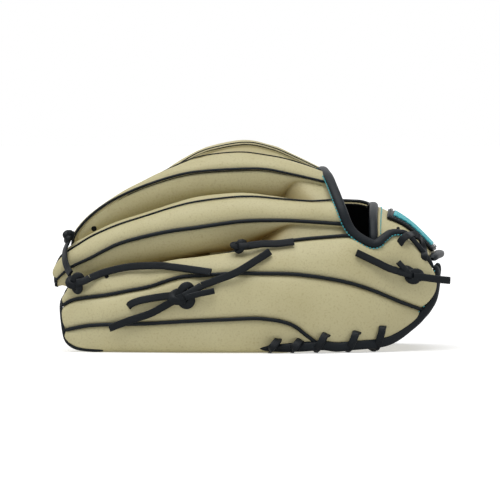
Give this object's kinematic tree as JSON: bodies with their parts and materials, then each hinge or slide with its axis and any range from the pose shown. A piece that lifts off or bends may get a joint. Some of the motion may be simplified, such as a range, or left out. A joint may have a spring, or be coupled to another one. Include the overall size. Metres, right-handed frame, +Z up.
{
  "type": "baseball fielder's glove",
  "caption": "Left-hand leather fielder's glove lying palm down, with separate finger stalls, a laced web, a wrist strap, a deep pocket and laced heels.",
  "frame": {"origin": "on the floor that the glove lies on, under the middle of its outline", "axes": "+X from the fingertips towards the wrist, +Y from the little-finger side towards the thumb, +Z up from the floor through the back of the hand"},
  "size_m": [0.2994, 0.1929, 0.1604],
  "materials": {
    "cream_leather": "satin, fine grain",
    "black_leather": "satin, fine grain",
    "black_rawhide": "waxed, low sheen",
    "turquoise_patch": "smooth, low sheen",
    "felt": "matt felt",
    "stay_plastic": "matt"
  },
  "bodies": {
    "palm": {"index_back": "cream_leather", "middle_back": "cream_leather", "ring_back": "cream_leather", "pinky_back": "cream_leather", "pinky_outer_back": "cream_leather", "palm_shell": "cream_leather", "index_middle_gusset": "cream_leather", "middle_ring_gusset": "cream_leather", "ring_pinky_gusset": "cream_leather", "index_web_gusset": "cream_leather", "index_welt": "black_leather", "middle_welt": "black_leather", "ring_welt": "black_leather", "pinky_upper_welt": "black_leather", "pinky_seam_welt": "black_leather", "pinky_edge_welt": "black_leather", "opening_binding": "black_leather", "heel_binding": "black_leather", "wrist_binding": "black_leather", "wrist_strap": "cream_leather", "strap_pad": "black_leather", "patch_base": "black_leather", "patch": "turquoise_patch", "strap_binding": "black_leather", "strap_heel_binding": "black_leather", "web_lace_index": "black_rawhide", "palm_pad": "felt", "palm_lining": "black_leather", "back_lining": "black_leather", "heel_pad": "felt", "pinky_stay": "stay_plastic", "tip_knot": "black_rawhide", "pinky_knot": "black_rawhide", "crotch_knot": "black_rawhide", "strap_knot": "black_rawhide", "tip_tail": "black_rawhide", "pinky_tail_up": "black_rawhide", "pinky_tail_down": "black_rawhide", "crotch_tail": "black_rawhide", "strap_tail": "black_rawhide", "tip_lace": "black_rawhide", "strap_lace": "black_rawhide", "heel_lace": "black_rawhide"},
    "thumb": {"thumb_palm_shell": "cream_leather", "thumb_back": "cream_leather", "thumb_outer_back": "cream_leather", "thumb_web_gusset": "cream_leather", "thumb_upper_welt": "black_leather", "thumb_seam_welt": "black_leather", "thumb_edge_welt": "black_leather", "thumb_heel_binding": "black_leather", "thumb_wrist_binding": "black_leather", "thumb_heel_pad": "felt", "thumb_stay": "stay_plastic", "thumb_heel_lace": "black_rawhide", "web_lace_thumb": "black_rawhide"},
    "web": {"web_post_index": "cream_leather", "web_post_thumb": "cream_leather", "web_cross_bar": "cream_leather", "web_edging": "black_leather"}
  },
  "joints": [
    {"name": "thumb_close", "type": "hinge", "parent": "palm", "child": "thumb", "pos_m": [0.13807, 0.01099, 0.056], "axis": [-0.9361, 0.2264, 0.2692], "range_deg": [-3, 12]},
    {"name": "web_fold", "type": "hinge", "parent": "palm", "child": "web", "pos_m": [-0.00603, 0.04789, 0.1101], "axis": [-0.9437, 0.1674, -0.2854], "range_deg": [-3, 11]}
  ],
  "couplings": [
    {"joint": "web_fold", "follows": "thumb_close", "ratio": 0.88}
  ]
}
